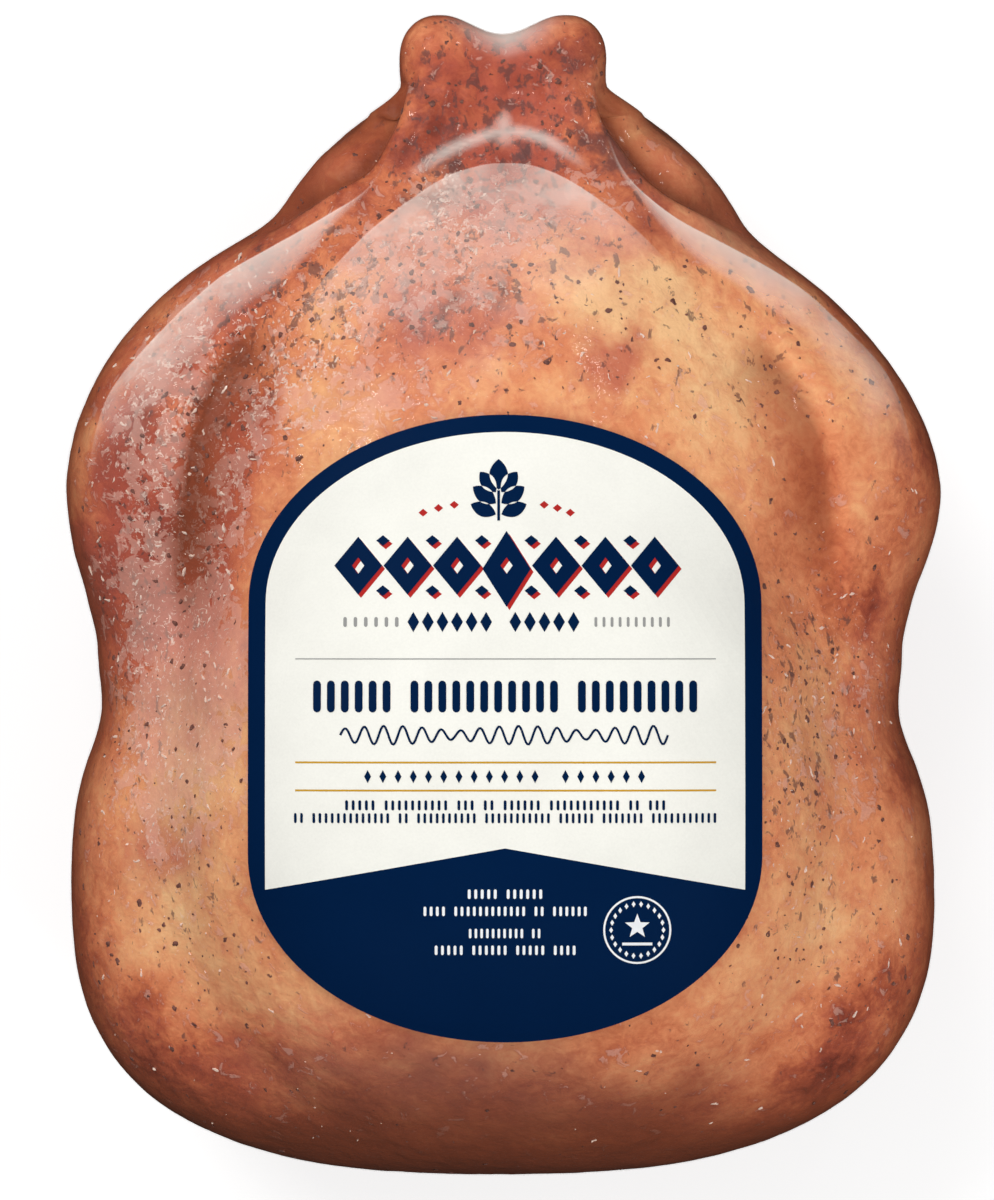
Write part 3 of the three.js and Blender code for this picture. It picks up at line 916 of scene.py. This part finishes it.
def web(x, y, z):
    """The film's taut ridge from hock to hock with its spike, and the web at their very end; the film's
    whiteness along both is painted reflection.
    """
    ridge, _, share = nearest_on_line(x, y, WEB_RIDGE)
    spike, _, up_share = nearest_on_line(x, y, WEB_SPIKE)
    line = bell(ridge, 1.6) * ends_faded(share, 0.3)
    point = bell(spike, 3.0 - 2.2 * up_share) * 0.9 * smooth(1 - up_share, 0, 0.7)
    webbing = np.exp(-(((x - 1) / 10) ** 2) - ((y - 157.5 - np.abs(x - 1) * 0.25) / 5) ** 2)
    return np.maximum(line, point) * smooth(z, 70, 84), webbing * 0.85 * smooth(z, 40, 60)


def folds(x, y, z):
    """How high the sharp folds of loose film stand."""
    total = np.zeros(x.shape)
    for line, width in FOLDS:
        gap, _, share = nearest_on_line(x, y, line)
        total = np.maximum(total, bell(gap, width) * ends_faded(share, 0.3))
    return total * smooth(z, 30, 60)


def listed(values):
    """A closed grid's values in the order of its mesh's points: pole, rings, pole."""
    return np.concatenate([values[:1, 0], values[1:-1].reshape(-1, *values.shape[2:]), values[-1:, 0]])


def shell_piece(name, grid, values):
    piece = mesh_piece(name, listed(grid), ring_faces(grid.shape[0] - 1, grid.shape[1]))
    for key, numbers in values.items():
        attribute(piece, key, listed(numbers))
    return piece


# ------ small things laid by nodes

def scatter_tree(name, attribute_name, material):
    """Nodes that lay small irregular lumps over a surface, as thick as one of its attributes says."""
    tree = bpy.data.node_groups.new(name, "GeometryNodeTree")
    socket = tree.interface.new_socket
    socket("Surface", in_out="INPUT", socket_type="NodeSocketGeometry")
    for label, kind in (
        ("Per Square Metre", "NodeSocketFloat"), ("Clearance", "NodeSocketFloat"),
        ("Smallest", "NodeSocketVector"), ("Largest", "NodeSocketVector"),
        ("Turn", "NodeSocketVector"), ("Roughness", "NodeSocketFloat"), ("Seed", "NodeSocketInt"),
    ):
        socket(label, in_out="INPUT", socket_type=kind)
    socket("Pieces", in_out="OUTPUT", socket_type="NodeSocketGeometry")

    def node(kind, settings=None, *values, **named):
        """A node with its settings, then the values or links of its sockets, by place or by name."""
        made = tree.nodes.new(kind)
        for key, value in (settings or {}).items():
            setattr(made, key, value)
        for key, value in [*enumerate(values), *named.items()]:
            into = made.inputs[key.replace("_", " ") if isinstance(key, str) else key]
            if isinstance(value, bpy.types.NodeSocket):
                tree.links.new(value, into)
            else:
                into.default_value = value
        return made

    def vector(operation, *values, **named):
        return node("ShaderNodeVectorMath", {"operation": operation}, *values, **named).outputs[0]

    given = node("NodeGroupInput").outputs
    share = node("GeometryNodeInputNamedAttribute", {"data_type": "FLOAT"}, Name=attribute_name)
    points = node("GeometryNodeDistributePointsOnFaces", {"distribute_method": "POISSON"},
                  Mesh=given["Surface"], Distance_Min=given["Clearance"],
                  Density_Max=given["Per Square Metre"], Density_Factor=share.outputs[0],
                  Seed=given["Seed"])
    lump = node("GeometryNodeMeshIcoSphere", Radius=1.0, Subdivisions=2)
    turn = node("FunctionNodeRandomValue", {"data_type": "FLOAT_VECTOR"}, Max=given["Turn"], Seed=1)
    turned = node("FunctionNodeRotateRotation", {"rotation_space": "LOCAL"},
                  Rotation=points.outputs["Rotation"], Rotate_By=turn.outputs[0])
    chance = node("FunctionNodeRandomValue", {"data_type": "FLOAT"}, Seed=2)
    few_large = node("ShaderNodeMath", {"operation": "POWER"}, chance.outputs["Value"], 2.6)
    span = vector("SUBTRACT", given["Largest"], given["Smallest"])
    whole = vector("ADD", vector("SCALE", span, Scale=few_large.outputs[0]), given["Smallest"])
    jitter = node("FunctionNodeRandomValue", {"data_type": "FLOAT_VECTOR"}, Seed=3,
                  Min=(0.6, 0.6, 0.8), Max=(1.1, 1.1, 1.1))
    laid = node("GeometryNodeInstanceOnPoints", Points=points.outputs["Points"],
                Instance=lump.outputs["Mesh"], Rotation=turned.outputs[0],
                Scale=vector("MULTIPLY", whole, jitter.outputs[0]))
    real = node("GeometryNodeRealizeInstances", Geometry=laid.outputs[0])
    noise = node("ShaderNodeTexNoise", Scale=900.0, Detail=1.0)
    centred = vector("SUBTRACT", noise.outputs["Color"], (0.5, 0.5, 0.5))
    moved = node("GeometryNodeSetPosition", Geometry=real.outputs[0],
                 Offset=vector("SCALE", centred, Scale=given["Roughness"]))
    rounded_off = node("GeometryNodeSetShadeSmooth", Geometry=moved.outputs[0])
    set_material = node("GeometryNodeSetMaterial", Geometry=rounded_off.outputs[0], Material=material)
    node("NodeGroupOutput", Pieces=set_material.outputs[0])
    return tree


def scattered(name, share, material, **inputs):
    """Small lumps laid on the bird's skin, as thick as one of its attributes says, as a plain mesh."""
    tree = scatter_tree("lay_" + name, share, material)
    base = bpy.data.objects.new(name + "_base", bpy.data.objects["roast_turkey"].data.copy())
    bpy.context.scene.collection.objects.link(base)
    modifier = base.modifiers.new("scatter", "NODES")
    modifier.node_group = tree
    names = {item.name: item.identifier for item in tree.interface.items_tree
             if item.item_type == "SOCKET" and item.in_out == "INPUT"}
    for key, value in {**inputs, "turn": (0, 0, math.tau)}.items():
        modifier[names[key.replace("_", " ").title()]] = value
    bpy.context.view_layer.update()
    mesh = bpy.data.meshes.new_from_object(base.evaluated_get(bpy.context.evaluated_depsgraph_get()))
    bpy.data.objects.remove(base)
    mesh.name = name
    if not mesh.polygons:
        raise RuntimeError(f"no pieces were laid for {name}")
    piece = bpy.data.objects.new(name, mesh)
    bpy.context.scene.collection.objects.link(piece)
    return piece


# ------ thin sheets and print

def inside_loops(points, loops):
    """Which points lie inside an odd number of closed loops."""
    inside = np.zeros(len(points), bool)
    x, y = points[:, 0], points[:, 1]
    for loop in loops:
        corners = np.array(loop)
        for (ax, ay), (bx, by) in zip(corners, np.roll(corners, -1, 0)):
            crosses = (ay > y) != (by > y)
            if crosses.any():
                inside ^= crosses & (x < ax + (y - ay) / (by - ay if by != ay else 1) * (bx - ax))
    return inside


def stepped(loop, step):
    """A closed loop with no side longer than a step."""
    points = []
    for (ax, ay), (bx, by) in zip(loop, loop[1:] + loop[:1]):
        count = max(1, math.ceil(math.hypot(bx - ax, by - ay) / step))
        points += [(ax + (bx - ax) * i / count, ay + (by - ay) * i / count) for i in range(count)]
    return points


def draped_sheet(name, loops, low, high, step=3.0):
    """A closed thin sheet over the film within flat outlines, between two heights above it."""
    loops = [stepped(loop, step) for loop in loops]
    corners, edges = [], []
    for loop in loops:
        first = len(corners)
        corners += loop
        edges += [(first + i, first + (i + 1) % len(loop)) for i in range(len(loop))]
    low_x, low_y = np.min(corners, 0)
    high_x, high_y = np.max(corners, 0)
    grid = np.array([(x + (step / 2) * (row % 2), y)
                     for row, y in enumerate(np.arange(low_y, high_y, step * 0.87))
                     for x in np.arange(low_x, high_x, step)]).reshape(-1, 2)
    filling = grid[inside_loops(grid, loops)]
    flat, _, triangles, *_ = delaunay_2d_cdt(
        [Vector(p) for p in corners + filling.tolist()], edges, [], 0, 1e-5)
    flat = np.array([tuple(p) for p in flat])
    triangles = np.array(triangles)
    triangles = triangles[inside_loops(flat[triangles].mean(1), loops)]
    used, triangles = np.unique(triangles, return_inverse=True)
    flat, triangles = flat[used], triangles.reshape(-1, 3)
    a, b, c = (flat[triangles[:, i]] for i in range(3))
    turned = np.cross(b - a, c - a) < 0
    triangles[turned] = triangles[turned][:, ::-1]
    heights = film_top(flat)
    top = np.column_stack([flat, heights + high])
    bottom = np.column_stack([flat, heights + low])
    count = len(flat)
    ways = {(a, b) for t in triangles.tolist() for a, b in zip(t, t[1:] + t[:1])}
    walls = [(a, a + count, b + count, b) for a, b in sorted(ways) if (b, a) not in ways]
    faces = triangles.tolist() + (triangles[:, ::-1] + count).tolist() + walls
    return mesh_piece(name, np.vstack([top, bottom]), faces, smooth_faces=False)


def film_top(flat):
    """The height of the tight film over places seen from above."""
    tight = Forms.get().tight
    heights = []
    for x, y in flat:
        hit = tight.ray_cast(Vector((x, y, 400.0)), Vector((0, 0, -1)))[0]
        if hit is None:
            raise RuntimeError("the label reaches past the pack")
        heights.append(hit.z)
    return np.array(heights)


def box(left, low, right, high):
    return [(left, low), (right, low), (right, high), (left, high)]


def diamond(x, y, half_x, half_y):
    return [(x - half_x, y), (x, y - half_y), (x + half_x, y), (x, y + half_y)]


def moved(loops, dx, dy):
    return [[(x + dx, y + dy) for x, y in loop] for loop in loops]


def leaf(x, y, length, width, degrees):
    """A pointed leaf from its base, in a direction."""
    turn = math.radians(degrees)
    sides = []
    for sign in (1, -1):
        steps = range(0, 13) if sign == 1 else range(11, 0, -1)
        for i in steps:
            t = i / 12
            sides.append((t * length, sign * width / 2 * math.sin(math.pi * t) ** 0.8))
    cos, sin = math.cos(turn), math.sin(turn)
    return [(x + a * cos - b * sin, y + a * sin + b * cos) for a, b in sides]


def star(x, y, outer, inner, points=5):
    return [(x + (outer if i % 2 == 0 else inner) * math.sin(math.pi * i / points),
             y + (outer if i % 2 == 0 else inner) * math.cos(math.pi * i / points))
            for i in range(2 * points)]


def ribbon(line, width):
    """A strip along a line of points."""
    line = np.array(line)
    along = np.gradient(line, axis=0)
    across = np.column_stack([-along[:, 1], along[:, 0]]) / np.hypot(*along.T)[:, None] * width / 2
    return [tuple(p) for p in line + across] + [tuple(p) for p in (line - across)[::-1]]


def pill(left, low, right, high):
    """An upright bar with round ends."""
    radius = (right - left) / 2
    middle = (left + right) / 2
    return (arc(middle, high - radius, radius, radius, 0, 180, 5)
            + arc(middle, low + radius, radius, radius, 180, 360, 5))


def plain_marks(left, right, low, high, groups, weight=0.5, lozenges=False):
    """A row of plain upright marks in groups, that stands for a line of print."""
    slots = sum(groups) + len(groups) - 1
    pitch = (right - left) / (slots - (1 - weight))
    middle, half = (low + high) / 2, (high - low) / 2
    loops, slot = [], 0
    for group in groups:
        for _ in range(group):
            x0 = left + slot * pitch
            x1 = x0 + pitch * weight
            if lozenges:
                loops.append(diamond((x0 + x1) / 2, middle, (x1 - x0) / 2, half))
            else:
                loops.append(pill(x0, low, x1, high))
            slot += 1
        slot += 1
    return loops


def sprig(x, low, height):
    """A sprig of leaves about an upright stem."""
    loops = [leaf(x, low + height * 0.5, height * 0.5, height * 0.3, 90)]
    for share, length, width, lean in (
            (0.02, 0.44, 0.24, 22), (0.2, 0.46, 0.26, 36), (0.38, 0.42, 0.24, 52)):
        for side in (1, -1):
            degrees = lean if side == 1 else 180 - lean
            start = (x + side * height * 0.045, low + height * (share + 0.08))
            loops.append(leaf(*start, height * length, height * width, degrees))
    loops.append(box(x - height * 0.022, low, x + height * 0.022, low + height * 0.49))
    return loops


def main_mark():
    """Seven bold lozenges in a row, each with a small one open in its middle."""
    loops = []
    for i in range(7):
        x = -46.9 + 13.8 * (i + 0.5)
        tall = 10.6 if i == 3 else 8.1
        loops += [diamond(x, 8.6 - (0.9 if i == 3 else 0), 6.7, tall), diamond(x, 8.6, 1.7, 2.3)]
        if i < 6:
            loops += [diamond(x + 6.9, 15.6, 1.9, 1.5), diamond(x + 6.9, 1.6, 1.9, 1.5)]
    return loops


def wave():
    """A fine waving line, like a pen's flourish."""
    line = []
    for i in range(241):
        t = i / 240
        swell = 0.45 + 0.55 * abs(math.sin(2.5 * math.pi * t + 0.4))
        line.append((-44.9 + 91.2 * t, -38.6 + 2.6 * swell * math.sin(2 * math.pi * 17 * t)))
    return ribbon(line, 0.62)


def seal(x, y, radius):
    """A round seal: two rings, a ring of dots, and a star over a bar."""
    loops = [arc(x, y, r, r, 0, 360 - 7.5, 47) for r in (radius, radius - 0.55)]
    dots, ring = 22, radius - 2.2
    for i in range(dots):
        angle = 2 * math.pi * i / dots
        loops.append(diamond(x + ring * math.cos(angle), y + ring * math.sin(angle), 0.55, 0.85))
    loops += [star(x, y + 1.0, 3.6, 1.5), box(x - 4.2, y - 4.3, x + 4.2, y - 3.5)]
    return loops


def fitted(loops, rise=0.0):
    """Print drawn a hundredth too large and 1 mm to the right, brought to its place on the label."""
    return [[(LABEL_X + (x - 1) * 0.99, y * 0.99 + rise) for x, y in loop] for loop in loops]


def label_prints():
    """The print on the label: each ink with its outlines and its heights above the film.

    Bars stand where letters would, so each row is its ends, its foot and head, and its groups.
    """
    marks = main_mark()
    navy = sprig(-0.8, 21.2, 17.2) + marks + [wave()]
    navy += plain_marks(-26.2, 21.7, -9.9, -4.3, [6, 5], 0.8, True)
    navy += plain_marks(-52.5, 54.5, -32.3, -23.4, [6, 11, 9], 0.56)
    navy += plain_marks(-38.2, 39.9, -51.9, -48.3, [12, 6], 0.45, True)
    navy += plain_marks(-43.5, 45.5, -59.5, -56.7, [5, 10, 3, 2, 6, 11, 2, 3], 0.42)
    navy += plain_marks(-57.8, 59.8, -63.1, -60.3, [2, 13, 2, 10, 11, 6, 7, 11], 0.42)
    red = moved(marks, 0.8, -0.9)
    for x, y in ((-21.9, 23.4), (-17.6, 24.7), (-13.2, 25.6), (11.9, 25.6), (15.6, 24.7), (19.2, 23.4)):
        red.append(diamond(x, y, 1.3, 1.1))
    grey = [box(-57.5, -17.55, 59.8, -17.25)]
    grey += plain_marks(-44.1, -28.7, -8.5, -5.7, [6], 0.34)
    grey += plain_marks(25.9, 46.9, -8.5, -5.7, [10], 0.34)
    gold = [box(-57.5, y - 0.25, 59.8, y + 0.25) for y in (-46.2, -54.0)]
    white = seal(37.8, -93.7, 9.5)
    for left, right, low, groups in ((-9.4, 11.3, -85.0, [5, 6]), (-21.7, 23.7, -89.8, [4, 12, 2, 6]),
                                     (-9.1, 10.8, -96.0, [10, 2]), (-18.6, 20.6, -100.7, [5, 6, 5, 4])):
        white += plain_marks(left, right, low, low + 2.7, groups, 0.45)
    return {
        "label_panel": ("cream", [panel_outline()], 0.66, 0.80),
        "label_red_print": ("red", fitted(red), 0.77, 0.85),
        "label_navy_print": ("navy", fitted(navy), 0.78, 0.91),
        "label_grey_print": ("grey", fitted(grey), 0.77, 0.87),
        "label_gold_print": ("gold", fitted(gold), 0.77, 0.87),
        "label_white_print": ("white", fitted(white, 0.8), 0.66, 0.79),
    }


# ------ sizes and colours to change

def ink_colour(name, description, *screen_colour):
    return bpy.props.FloatVectorProperty(
        name=name, description=description, subtype="COLOR", size=3, min=0, max=1,
        default=linear(*screen_colour))


def number(name, description, default, **limits):
    return bpy.props.FloatProperty(name=name, description=description, default=default, min=0, **limits)


class RoastTurkeyLook(bpy.types.PropertyGroup):
    """Sizes and colours of the bagged roast turkey."""

    relief: number("Relief", "Depth of the creases and dents, as a share of the usual", 1.0,
                   max=1.5, subtype="FACTOR")
    skin_relief_mm: number("Skin Grain", "Depth of the skin's fine wrinkles, in millimetres", 0.9, max=2)
    film_crinkle_mm: number("Film Crinkle", "Height of the film's fine crinkles, in millimetres", 0.5,
                            max=2)
    film_gloss: number("Film Gloss", "How much light the clear film throws back", 1.0,
                       max=2, subtype="FACTOR")
    # the strength of the painted reflections on the film
    painted_reflection_strength: number("Veil", "How whitish the film is where it catches broad light", 0.36,
                 max=1, subtype="FACTOR")
    flecks: number("Flecks", "Most char and spice flecks laid on a square metre", 60000)
    beads: number("Beads", "Most beads of juice laid on a square metre", 60000)
    navy: ink_colour("Navy", "Ink of the label's border, foot and marks", 0, 29, 66)
    cream: ink_colour("Cream", "Ground of the label's panel", 240, 239, 231)
    red: ink_colour("Red", "Ink of the offset edges and small marks", 176, 40, 38)
    gold: ink_colour("Gold", "Ink of the two thin rules", 196, 150, 42)
    grey: ink_colour("Grey", "Ink of the thin rule and the side marks", 150, 150, 148)
    white: ink_colour("White", "Ink of the marks on the label's foot", 236, 238, 240)
    key_watts: number("Key Light", "Power of the main softbox, in watts", 39, unit="POWER")
    fill_watts: number("Fill Light", "Power of the side softbox, in watts", 24, unit="POWER")
    glint_watts: number("Glint Lights", "Power of each small bare lamp, in watts", 0.5, unit="POWER")
    sky: number("Room Light", "Strength of the even light from all around", 0.3, max=3)


# ------ one operator for each piece

class RoastPiece:
    """What the operators have in common."""

    bl_options = {"REGISTER", "UNDO"}

    def execute(self, context):
        self.make(context.scene.roast_turkey)
        return {"FINISHED"}


class ROAST_OT_skin(RoastPiece, bpy.types.Operator):
    """Makes the roasted bird: its browned skin with creases, dents and wrinkles"""

    bl_idname = "roast_turkey.skin"
    bl_label = "Browned Skin"

    def make(self, look):
        forms = Forms.get()
        piece = shell_piece("roast_turkey", forms.skin, forms.skin_values)
        piece.data.materials.append(roast_skin_finish(look))
        finished(piece, "roast_skin", "bagged_turkey")


class ROAST_OT_film(RoastPiece, bpy.types.Operator):
    """Makes the clear shrink film that is drawn tight over the bird"""

    bl_idname = "roast_turkey.film"
    bl_label = "Shrink Film"

    def make(self, look):
        forms = Forms.get()
        piece = shell_piece("shrink_film", forms.film, forms.film_values)
        piece.data.materials.append(film_finish(look))
        finished(piece, "bag_film", "bagged_turkey")


class ROAST_OT_flecks(RoastPiece, bpy.types.Operator):
    """Lays flecks of char and spice on the skin"""

    bl_idname = "roast_turkey.flecks"
    bl_label = "Char Flecks"

    def make(self, look):
        piece = scattered(
            "char_flecks", "fleck_share", fleck_finish(), per_square_metre=look.flecks,
            clearance=1.6 * MM, smallest=(0.26 * MM, 0.22 * MM, 0.1 * MM),
            largest=(1.25 * MM, 0.95 * MM, 0.24 * MM), roughness=1.5 * MM, seed=7)
        finished(piece, "char_flecks")


class ROAST_OT_beads(RoastPiece, bpy.types.Operator):
    """Lays beads of juice and air between the skin and the film"""

    bl_idname = "roast_turkey.beads"
    bl_label = "Juice Beads"

    def make(self, look):
        piece = scattered(
            "juice_beads", "bead_share", bead_finish(), per_square_metre=look.beads,
            clearance=1.5 * MM, smallest=(0.22 * MM, 0.14 * MM, 0.14 * MM),
            largest=(1.6 * MM, 0.42 * MM, 0.36 * MM), roughness=1.6 * MM, seed=23)
        finished(piece, "juice")


class ROAST_OT_label(RoastPiece, bpy.types.Operator):
    """Makes the arched film label and its plain print"""

    bl_idname = "roast_turkey.label"
    bl_label = "Label and Print"

    def make(self, look):
        inks = {ink: print_finish("ink_" + ink, tuple(getattr(look, ink)))
                for ink in ("navy", "cream", "red", "gold", "grey", "white")}
        sheet = draped_sheet(
            "label_sheet", [label_outline()], LABEL_LIFT, LABEL_LIFT + LABEL_THICKNESS)
        sheet.data.materials.append(inks["navy"])
        finished(sheet, "label_print", "label")
        for name, (ink, loops, low, high) in label_prints().items():
            piece = draped_sheet(name, loops, low, high)
            piece.data.materials.append(inks[ink])
            finished(piece, "label_print")


class ROAST_OT_stage(RoastPiece, bpy.types.Operator):
    """Makes the pale floor, the soft studio light and the camera above the pack"""

    bl_idname = "roast_turkey.stage"
    bl_label = "Floor, Light and Camera"

    def make(self, look):
        half, below = 3000, -0.1
        floor = mesh_piece("floor", [(-half, -half, below), (half, -half, below),
                                     (half, half, below), (-half, half, below)], [(0, 1, 2, 3)])
        floor.data.materials.append(floor_finish())
        floor.visible_diffuse = floor.visible_glossy = False      # keeps the pack's sides deep in tone
        self.softbox("key_light", (-1.0, 1.25, 1.7), 1.6, look.key_watts)
        self.softbox("fill_light", (1.3, -1.1, 1.5), 1.3, look.fill_watts)
        for number, place in enumerate(((-1.0, 0.7, 1.3), (0.8, 1.0, 1.5), (-0.3, -1.2, 1.5))):
            self.softbox(f"glint_light_{number}", place, 0.1, look.glint_watts)
        world = bpy.data.worlds.new("studio_room")
        world.use_nodes = True
        world.node_tree.nodes["Background"].inputs["Strength"].default_value = look.sky
        world.node_tree.nodes["Background"].inputs["Color"].default_value = (1, 1, 1, 1)
        world.cycles_visibility.glossy = False
        bpy.context.scene.world = world
        bpy.context.scene.view_settings.view_transform = "Standard"
        self.camera()

    def softbox(self, name, place, size, watts):
        """A square lamp that points at the pack's middle."""
        middle = Vector((0, 0, 0.07))
        light = bpy.data.lights.new(name, "AREA")
        light.shape, light.size, light.energy = "SQUARE", size, watts
        lamp = bpy.data.objects.new(name, light)
        lamp.visible_glossy = size < 1          # the film mirrors only the small lamps
        lamp.location = place
        lamp.rotation_euler = (middle - lamp.location).to_track_quat("-Z", "Y").to_euler()
        bpy.context.scene.collection.objects.link(lamp)

    def camera(self):
        """Looks straight down from where the pack's outline just fills the view."""
        view = bpy.data.cameras.new("camera")
        view.lens, view.sensor_width, view.clip_end = 500, 36, 20
        view_height, outline_height = 0.336, 0.078
        eye = bpy.data.objects.new("camera", view)
        eye.location = (-0.00154, -0.00098, outline_height + view_height * view.lens / view.sensor_width)
        bpy.context.scene.collection.objects.link(eye)
        bpy.context.scene.camera = eye


STEPS = (ROAST_OT_stage, ROAST_OT_skin, ROAST_OT_film, ROAST_OT_flecks, ROAST_OT_beads, ROAST_OT_label)


class ROAST_PT_panel(bpy.types.Panel):
    """Lists the pieces and what can be changed"""

    bl_idname = "ROAST_PT_panel"
    bl_label = "Bagged Roast Turkey"
    bl_space_type = "VIEW_3D"
    bl_region_type = "UI"
    bl_category = "Roast Turkey"

    def draw(self, context):
        look = context.scene.roast_turkey
        for name in RoastTurkeyLook.__annotations__:
            self.layout.prop(look, name)
        for step in STEPS:
            self.layout.operator(step.bl_idname)


def register():
    for made in (RoastTurkeyLook, *STEPS, ROAST_PT_panel):
        bpy.utils.register_class(made)
    bpy.types.Scene.roast_turkey = bpy.props.PointerProperty(type=RoastTurkeyLook)


def unregister():
    del bpy.types.Scene.roast_turkey
    for made in (ROAST_PT_panel, *reversed(STEPS), RoastTurkeyLook):
        bpy.utils.unregister_class(made)


def main():
    register()
    for step in STEPS:
        getattr(bpy.ops.roast_turkey, step.bl_idname.split(".")[1])()


if __name__ == "__main__":
    main()
